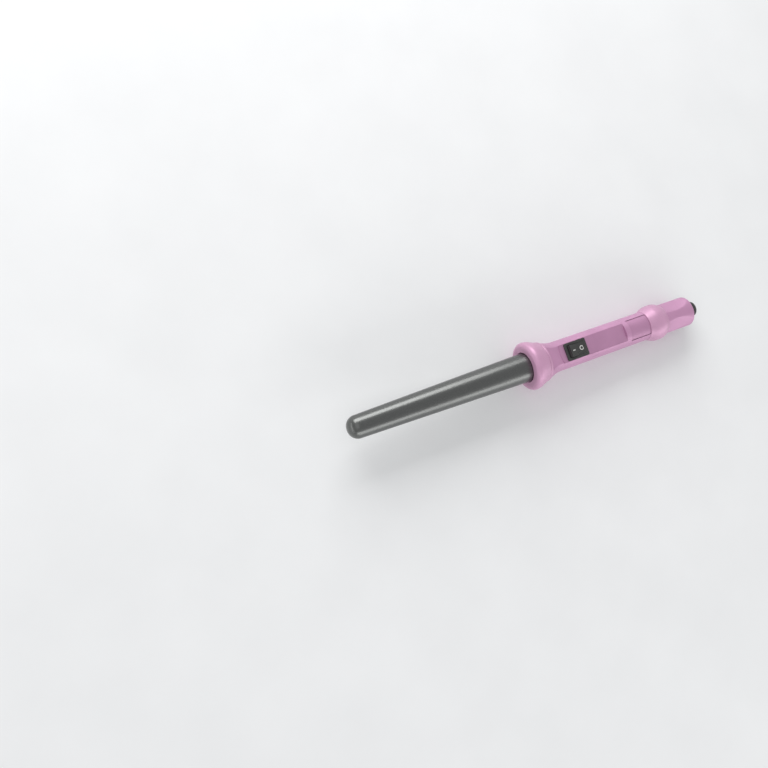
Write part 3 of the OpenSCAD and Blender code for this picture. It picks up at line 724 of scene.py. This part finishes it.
# %% Cutting helpers
def combine(obj, other, operation):
    """Applies one exact boolean with another closed piece, which is used up."""
    boolean = obj.modifiers.new(operation, "BOOLEAN")
    boolean.operation = operation
    boolean.solver = "EXACT"
    boolean.object = other
    bpy.context.view_layer.update()
    evaluated = obj.evaluated_get(bpy.context.evaluated_depsgraph_get())
    combined = bpy.data.meshes.new_from_object(evaluated)
    obj.modifiers.remove(boolean)
    old = obj.data
    obj.data = combined
    bpy.data.meshes.remove(old)
    bpy.data.objects.remove(other)


def drill_from_below(obj, x, top, radius):
    """Cuts an upright round hole into the underside, up to a height above the wand's axis."""
    low = -20 * MM
    bm = bmesh.new()
    bmesh.ops.create_cone(bm, cap_ends=True, segments=48, radius1=radius, radius2=radius,
                          depth=top - low)
    bmesh.ops.translate(bm, verts=bm.verts, vec=(x, 0, AXIS_Z + (low + top) / 2))
    combine(obj, add_mesh("drill", bm), "DIFFERENCE")


def box_bmesh(low, high):
    """Box between two corners."""
    low, high = Vector(low), Vector(high)
    bm = bmesh.new()
    bmesh.ops.create_cube(bm, size=1.0)
    bmesh.ops.scale(bm, verts=bm.verts, vec=high - low)
    bmesh.ops.translate(bm, verts=bm.verts, vec=(low + high) / 2)
    return bm


def cut_window(obj, half_l, half_w, low, high):
    """Cuts a rectangular window centred on the switch between two heights above the axis."""
    bm = box_bmesh((switch_x - half_l, -half_w, AXIS_Z + low),
                   (switch_x + half_l, half_w, AXIS_Z + high))
    combine(obj, add_mesh("window", bm), "DIFFERENCE")


# %% Finish the upper shell
def soften(obj, width, segments=3, angle=30):
    """Rounds every edge sharper than an angle with a live bevel."""
    bevel = obj.modifiers.new("soften", "BEVEL")
    bevel.width = width
    bevel.segments = segments
    bevel.limit_method = "ANGLE"
    bevel.angle_limit = math.radians(angle)
    bevel.use_clamp_overlap = True
    bevel.harden_normals = False


body_low, body_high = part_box("switch_body")
switch_x = (body_low[0] + body_high[0]) / 2
upper_shell = add_mesh("upper_handle_shell", lofted(rings))
cut_window(upper_shell, 9.7 * MM, 6.6 * MM, 2 * MM, 30 * MM)
smooth(upper_shell, 60)
soften(upper_shell, 0.22 * MM)
place(upper_shell, shell_paint, "lilac_shell", "handle", "handle_shell_top")

# %% [markdown]
# The lower shell is a plain half tube. It closes against the upper one, whose small bevel leaves
# the fine parting line that such handles have along their sides. Two round wells, drilled from
# below, take the heads of the handle's screws.

# %% Lower shell
def lower_arc(radius, steps):
    """Half circle below the axis, from -Y to +Y."""
    angles = [math.pi * i / steps for i in range(steps + 1)]
    return [(-radius * math.cos(angle), -radius * math.sin(angle)) for angle in angles]


def lower_ring(x, radius, bore=cavity_r):
    """One ring of the lower shell: its outside, then its hollow back to the start."""
    hollow = [(-y, z) for y, z in lower_arc(bore, HOLLOW_STEPS)]
    return x, lower_arc(radius, 64) + hollow


lower_rings = [
    lower_ring(spigot_front, spigot_r, bush_bore_r), lower_ring(bush_end, spigot_r, bush_bore_r),
    lower_ring(bush_end, spigot_r), lower_ring(handle_x, spigot_r),
]
body_stations = stations(handle_x, grip_x, 0.8 * MM) + stations(grip_x, rear_x, 2.5 * MM)[1:]
lower_rings += [lower_ring(x, handle_r(x)) for x in body_stations]
lower_rings += [
    lower_ring(rear_x, wide_spigot_r, cavity_r - 1.25 * MM),
    lower_ring(tail_x, wide_spigot_r, bearing_bore),
    lower_ring(tail_x, narrow_spigot_r, bearing_bore),
    lower_ring(shell_high[0], narrow_spigot_r, bearing_bore),
]
lower_shell = add_mesh("lower_handle_shell", lofted(lower_rings))

screw_low, screw_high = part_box("handle_screws")
head_r = screw_high[1]
head_h = 1.8 * MM
head_top = screw_low[2] - AXIS_Z + head_h
for x in (screw_low[0] + head_r, screw_high[0] - head_r):
    drill_from_below(lower_shell, x, head_top, head_r + 0.15 * MM)
smooth(lower_shell, 30)
place(lower_shell, shell_paint, "lilac_shell", "handle", "handle_shell_bottom")

# %% [markdown]
# ## The switch panel and the rear pad
#
# The panel is a flat inlay with a bowed front end. Its outline is drawn once, filled and extruded.
# A narrow inset around the top face is raised, which gives it the faint crown of a moulded cover.

# %% Panel
def panel_outline():
    """Corners of the panel seen from above, starting at the rear."""
    bow = 20 * MM
    sweep = math.degrees(math.asin(panel_half / bow))
    rear = [(panel_end, -panel_half), (panel_end, panel_half)]
    return rear + arc(panel_x + bow, 0, bow, 180 - sweep, 180 + sweep, 16)


def slab(outline, low, high):
    """Solid between two heights above the axis, from an outline of (x, y) points."""
    bm = bmesh.new()
    base = bm.faces.new([bm.verts.new((x, y, AXIS_Z + low)) for x, y in outline])
    made = bmesh.ops.extrude_face_region(bm, geom=[base])
    bmesh.ops.translate(bm, verts=new_verts(made), vec=(0, 0, high - low))
    bmesh.ops.recalc_face_normals(bm, faces=bm.faces)
    return bm


crown_h, crown_w = 0.15 * MM, 1.1 * MM
panel_bm = slab(panel_outline(), seat_z, panel_top - crown_h)
top_face = max(panel_bm.faces, key=lambda f: f.calc_center_median().z)
bmesh.ops.inset_region(panel_bm, faces=[top_face], thickness=crown_w, depth=crown_h,
                       use_even_offset=True)
panel = add_mesh("switch_panel_inlay", panel_bm)
cut_window(panel, 9.6 * MM, 6.5 * MM, 0, 30 * MM)
smooth(panel, 40)
soften(panel, 0.3 * MM, 4)
place(panel, panel_paint_shaded, "lilac_panel", "handle", "switch_panel")

# %% [markdown]
# The rear pad is a thumb rest that follows the grip's curve a little below its surface. A filled
# rectangle of the pad's length and thickness is spun through the angle that the pad covers.

# %% Rear pad
pad_top = grip_r1 - 0.45 * MM
pad_under = pad_floor_r + 0.05 * MM


def pad_bmesh():
    bm = bmesh.new()
    centre = (0, 0, AXIS_Z)
    half_angle = math.asin(pad_half / pad_top)
    corners = [(pad_low[0], pad_under), (pad_high[0], pad_under),
               (pad_high[0], pad_top), (pad_low[0], pad_top)]
    verts = [bm.verts.new((x, 0, AXIS_Z + r)) for x, r in corners]
    face = bm.faces.new(verts)
    to_side = Matrix.Rotation(-half_angle, 3, "X")
    bmesh.ops.rotate(bm, verts=verts, cent=centre, matrix=to_side)
    bmesh.ops.spin(bm, geom=[face], cent=centre, axis=(1, 0, 0), angle=2 * half_angle, steps=48,
                   use_merge=False, use_normal_flip=False, use_duplicate=False)
    bmesh.ops.remove_doubles(bm, verts=bm.verts, dist=0.002 * MM)
    bmesh.ops.recalc_face_normals(bm, faces=bm.faces)
    return bm


pad = add_mesh("rear_thumb_pad", pad_bmesh())
smooth(pad, 40)
soften(pad, 0.35 * MM, 4)
place(pad, panel_paint_shaded, "lilac_panel", "handle", "rear_pad")

# %% [markdown]
# ## The rocker switch
#
# The rim is a rounded plate around a rectangular well. The body below it drops into the handle.
# Both are boxes with their upright edges beveled, and the well is taken out of the pair.

# %% Switch body
def bevel_upright(bm, offset, segments):
    """Rounds the four upright edges of a box."""
    upright = [e for e in bm.edges if abs(e.verts[0].co.z - e.verts[1].co.z) > 0.001 * MM]
    bmesh.ops.bevel(bm, geom=upright, offset=offset, segments=segments, profile=0.5,
                    affect="EDGES", material=-1)


def rounded_box(name, half_l, half_w, low, high, corner, segments):
    """Box centred on the switch, between two heights, with rounded upright edges."""
    bm = box_bmesh((switch_x - half_l, -half_w, low), (switch_x + half_l, half_w, high))
    bevel_upright(bm, corner, segments)
    return add_mesh(name, bm)


rim_top = body_high[2]
panel_z = AXIS_Z + panel_top
rim_half_l, rim_half_w = (body_high[0] - body_low[0]) / 2, body_high[1]
well_half_l, well_half_w = 8.5 * MM, 5.3 * MM
well_floor = body_low[2] + 1.2 * MM
rim = rounded_box("switch_rim", rim_half_l, rim_half_w, panel_z, rim_top, 1.3 * MM, 6)
combine(rim, rounded_box("below", 9.5 * MM, 6.4 * MM, body_low[2], panel_z + 0.2 * MM, 0.4 * MM, 2),
        "UNION")
combine(rim, rounded_box("well", well_half_l, well_half_w, well_floor, rim_top + 5 * MM,
                         0.5 * MM, 3), "DIFFERENCE")
smooth(rim, 35)
soften(rim, 0.35 * MM, 4, 50)
place(rim, rim_black, "black_switch", "handle", "switch_body")

# %% [markdown]
# The rocker is a paddle with a shallow V on top. Its side profile is drawn in its own upright
# position and extruded across, its edges are beveled, and then the whole is leaned to the off side,
# as the switch is stored. Its ends are arcs about the pivot, so they clear the well as it tilts.

# %% Rocker
pivot = Vector(next(j["pos_m"] for j in frame["joints"] if j["child"] == "rocker"))
lean = math.radians(8)
end_r = well_half_l - 0.2 * MM
paddle_top = 2.7 * MM
paddle_half = well_half_w - 0.15 * MM
TOP_STEPS = 12
UNDER_ANGLE = 14


def slope_height(x):
    """Height of the paddle's hollowed slope above the pivot."""
    sag = 0.25 * MM * math.sin(math.pi * abs(x) / end_r)
    return paddle_top + abs(x) * math.tan(lean) - sag


def paddle_profile():
    """Side outline of the rocker about its pivot, as (x, z) points."""
    high = paddle_top + end_r * math.tan(lean)
    end_angle = 0.82 * math.degrees(math.atan2(high, end_r))
    reach = 0.97 * end_r
    steps = [reach * (i / TOP_STEPS - 1) for i in range(2 * TOP_STEPS + 1)]
    right = arc(0, 0, end_r, end_angle, -UNDER_ANGLE, 8)
    left = arc(0, 0, end_r, 180 + UNDER_ANGLE, 180 - end_angle, 8)
    return [(x, slope_height(x)) for x in steps] + right + left


def lean_rocker(bm):
    """Turns a piece from the rocker's upright position to its place on the off side."""
    bmesh.ops.rotate(bm, verts=bm.verts, cent=(0, 0, 0), matrix=Matrix.Rotation(lean, 3, "Y"))
    bmesh.ops.translate(bm, verts=bm.verts, vec=pivot)


paddle_bm = bmesh.new()
paddle_verts = [paddle_bm.verts.new((x, -paddle_half, z)) for x, z in paddle_profile()]
paddle_face = paddle_bm.faces.new(paddle_verts)
far_side = new_verts(bmesh.ops.extrude_face_region(paddle_bm, geom=[paddle_face]))
bmesh.ops.translate(paddle_bm, verts=far_side, vec=(0, 2 * paddle_half, 0))
bmesh.ops.recalc_face_normals(paddle_bm, faces=paddle_bm.faces)
lean_rocker(paddle_bm)
rocker = add_mesh("rocker_paddle", paddle_bm)
smooth(rocker, 25)
soften(rocker, 0.3 * MM, 4, 40)
place(rocker, rocker_black, "black_switch", "rocker", "rocker")

# %% [markdown]
# The marks are the generic line and ring. They are thin prints on the two slopes of the paddle:
# the line is a flat rounded bar, and the ring is a circle whose edge is extruded and drawn in. Each
# is made flat, laid on its slope with a turn about Y, and then leaned with the paddle.

# %% Marks
PRINT = 0.05 * MM
LIFT = 0.02 * MM


def add_mark(name, bm, x):
    """Lays a flat mark on the slope of the upright paddle at a distance from the pivot."""
    turn = Matrix.Rotation(-math.copysign(lean, x), 3, "Y")
    bmesh.ops.rotate(bm, verts=bm.verts, cent=(0, 0, 0), matrix=turn)
    bmesh.ops.translate(bm, verts=bm.verts, vec=(x, 0, slope_height(x) + LIFT))
    lean_rocker(bm)
    place(add_mesh(name, bm), ink, "white_nylon", "rocker")


bar_bm = bmesh.new()
bmesh.ops.create_cube(bar_bm, size=1.0)
bmesh.ops.scale(bar_bm, verts=bar_bm.verts, vec=(4.0 * MM, 0.75 * MM, PRINT))
bevel_upright(bar_bm, 0.3 * MM, 4)
add_mark("mark_line", bar_bm, -3.2 * MM)

ring_bm = bmesh.new()
bmesh.ops.create_circle(ring_bm, cap_ends=False, segments=48, radius=2.0 * MM)
inner_edge = new_verts(bmesh.ops.extrude_edge_only(ring_bm, edges=ring_bm.edges[:]))
bmesh.ops.scale(ring_bm, verts=inner_edge, vec=(0.62, 0.62, 1))
raised = new_verts(bmesh.ops.extrude_face_region(ring_bm, geom=ring_bm.faces[:]))
bmesh.ops.translate(ring_bm, verts=raised, vec=(0, 0, PRINT))
bmesh.ops.recalc_face_normals(ring_bm, faces=ring_bm.faces)
add_mark("mark_ring", ring_bm, 4.6 * MM)

# %% [markdown]
# ## The tail
#
# The rear collar is a bulge that stops the hand from sliding off. Its radius is one formula: a
# smooth hump that is steeper behind its crown than ahead of it.

# %% Rear collar
collar_front_r = grip_r1 + 0.4 * MM
tail_full_r = 13.16 * MM
bulge_h = 2.85 * MM
collar_bore_r = wide_spigot_r + 0.1 * MM


def rear_collar_r(x):
    """Radius of the rear collar: a straight base, and a hump with its crown at bulge_x."""
    reach = bulge_x - rear_x if x < bulge_x else tail_x + 0.6 * MM - bulge_x
    t = abs(x - bulge_x) / reach
    base = collar_front_r + (tail_full_r - collar_front_r) * (x - rear_x) / (tail_x - rear_x)
    return base + bulge_h * (1 - t ** 3) ** 2


hump = [(x, rear_collar_r(x)) for x in stations(rear_x + 0.25 * MM, tail_x - 0.1 * MM, 0.5 * MM)]
bulge_outline = (
    [(rear_x, collar_bore_r), (rear_x, collar_front_r - 0.25 * MM)] + hump
    + [(tail_x, rear_collar_r(tail_x) - 0.1 * MM), (tail_x, collar_bore_r)]
)
rear_collar = add_mesh("rear_bulge_collar", turned(bulge_outline, steps=160))
smooth(rear_collar, 50)
place(rear_collar, collar_paint_lit, "lilac_collar", "handle", "rear_collar")

# %% [markdown]
# Four long scallops run around the tail, like thumb cuts. Each is a very shallow slice of a big
# cylinder. The tail is turned first, and then each outer point is pulled in to the nearest slice,
# which keeps a regular grid and leaves crisp ridges between the scallops. A shallow recess in the
# ridge below takes the head of the tail's screw.

# %% Tail
scallop_depth = 1.76 * MM
scallop_round = 78 * MM
deep_x = tail_x + 0.35 * (tail_end - tail_x)
neck_bore_r = 6.06 * MM
tail_bore_r = 9.6 * MM
wall_x = tail_end - 4.6 * MM


def scallop_distance(x):
    """Distance from the axis to the flat bottom of a scallop at a station."""
    reach = x - deep_x
    return tail_full_r - scallop_depth + scallop_round - math.sqrt(scallop_round ** 2 - reach ** 2)


def soft_min(a, b, softness):
    """Smaller of two lengths, with the corner between them rounded."""
    gap = max(softness - abs(a - b), 0.0) / softness
    return min(a, b) - gap * gap * softness / 4


rim_round = 1.2 * MM
tail_outline = (
    [(tail_x, tail_bore_r), (tail_x, tail_full_r)]
    + arc(tail_end - rim_round, tail_full_r - rim_round, rim_round, 90, 0, 6)
    + [(tail_end, neck_bore_r), (wall_x, neck_bore_r), (wall_x, tail_bore_r)]
)
tail_bm = turned(tail_outline, steps=288, subdivide=0.7 * MM)
for vert in tail_bm.verts:
    y, z = vert.co.y, vert.co.z - AXIS_Z
    radius = math.hypot(y, z)
    if radius > tail_full_r - rim_round - 0.05 * MM:
        around = math.degrees(math.atan2(y, z)) % 90 - 45
        cut = scallop_distance(vert.co.x) / math.cos(math.radians(around))
        shrink = soft_min(radius, cut, 0.12 * MM) / radius
        vert.co.y, vert.co.z = y * shrink, AXIS_Z + z * shrink
tail = add_mesh("scalloped_tail", tail_bm)
tail_screw_low, tail_screw_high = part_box("tail_screw")
tail_head_h = 1.2 * MM
drill_from_below(tail, (tail_screw_low[0] + tail_screw_high[0]) / 2,
                 tail_screw_low[2] - AXIS_Z + tail_head_h, tail_screw_high[1] + 0.1 * MM)
smooth(tail, 50)
place(tail, shell_paint, "lilac_shell", "handle", "tail_housing")

# %% [markdown]
# The cord comes out of a gland that turns with the swivel. It is a short black collar with a
# rounded rim, two grip grooves and a flared mouth.

# %% Cord gland
inlet_r = 3.6 * MM
mouth_r = 6.6 * MM
groove = 0.35 * MM
front_round, mouth_round, flare_round = 0.6 * MM, 0.8 * MM, 0.7 * MM


def grip_groove(x, r):
    """Outline of one groove around a station, where the gland's radius is r."""
    return [(x - 0.35 * MM, r + 0.1 * MM), (x - 0.2 * MM, r - groove),
            (x + 0.2 * MM, r - groove - 0.05 * MM), (x + 0.35 * MM, r - 0.12 * MM)]


gland_outline = (
    [(gland_x, inlet_r), (gland_x, gland_r - front_round)]
    + arc(gland_x + front_round, gland_r - front_round, front_round, 180, 90, 5)
    + [(gland_x + 2.4 * MM, gland_r), (gland_x + 3.1 * MM, gland_r - 0.25 * MM)]
    + grip_groove(gland_x + 3.9 * MM, gland_r - 0.55 * MM)
    + grip_groove(gland_x + 5.4 * MM, gland_r - 1.07 * MM)
    + arc(gland_end - mouth_round, mouth_r - mouth_round, mouth_round, 90, 0, 6)
    + arc(gland_end - flare_round, inlet_r + flare_round, flare_round, 0, -90, 5)
)
gland = add_mesh("swivel_gland", turned(gland_outline, steps=128))
smooth(gland, 40)
place(gland, gland_black, "black_plastic", "swivel", "cord_gland")

# %% [markdown]
# ## The floor's finish
#
# The floor is matt paper, almost white. A slight mottling keeps it from looking computed.

# %% Floor finish
PAPER = (0.86, 0.865, 0.87)
paper = new_material("studio_paper", PAPER, roughness=0.75, specular=0.2)
mottling = noise(paper, 14.0, detail=4.0)
wire(paper, blend_colors(paper, mottling, (0.83, 0.835, 0.84), PAPER), "Base Color")
floor.data.materials.append(paper)
print("floor finish:", paper.name)
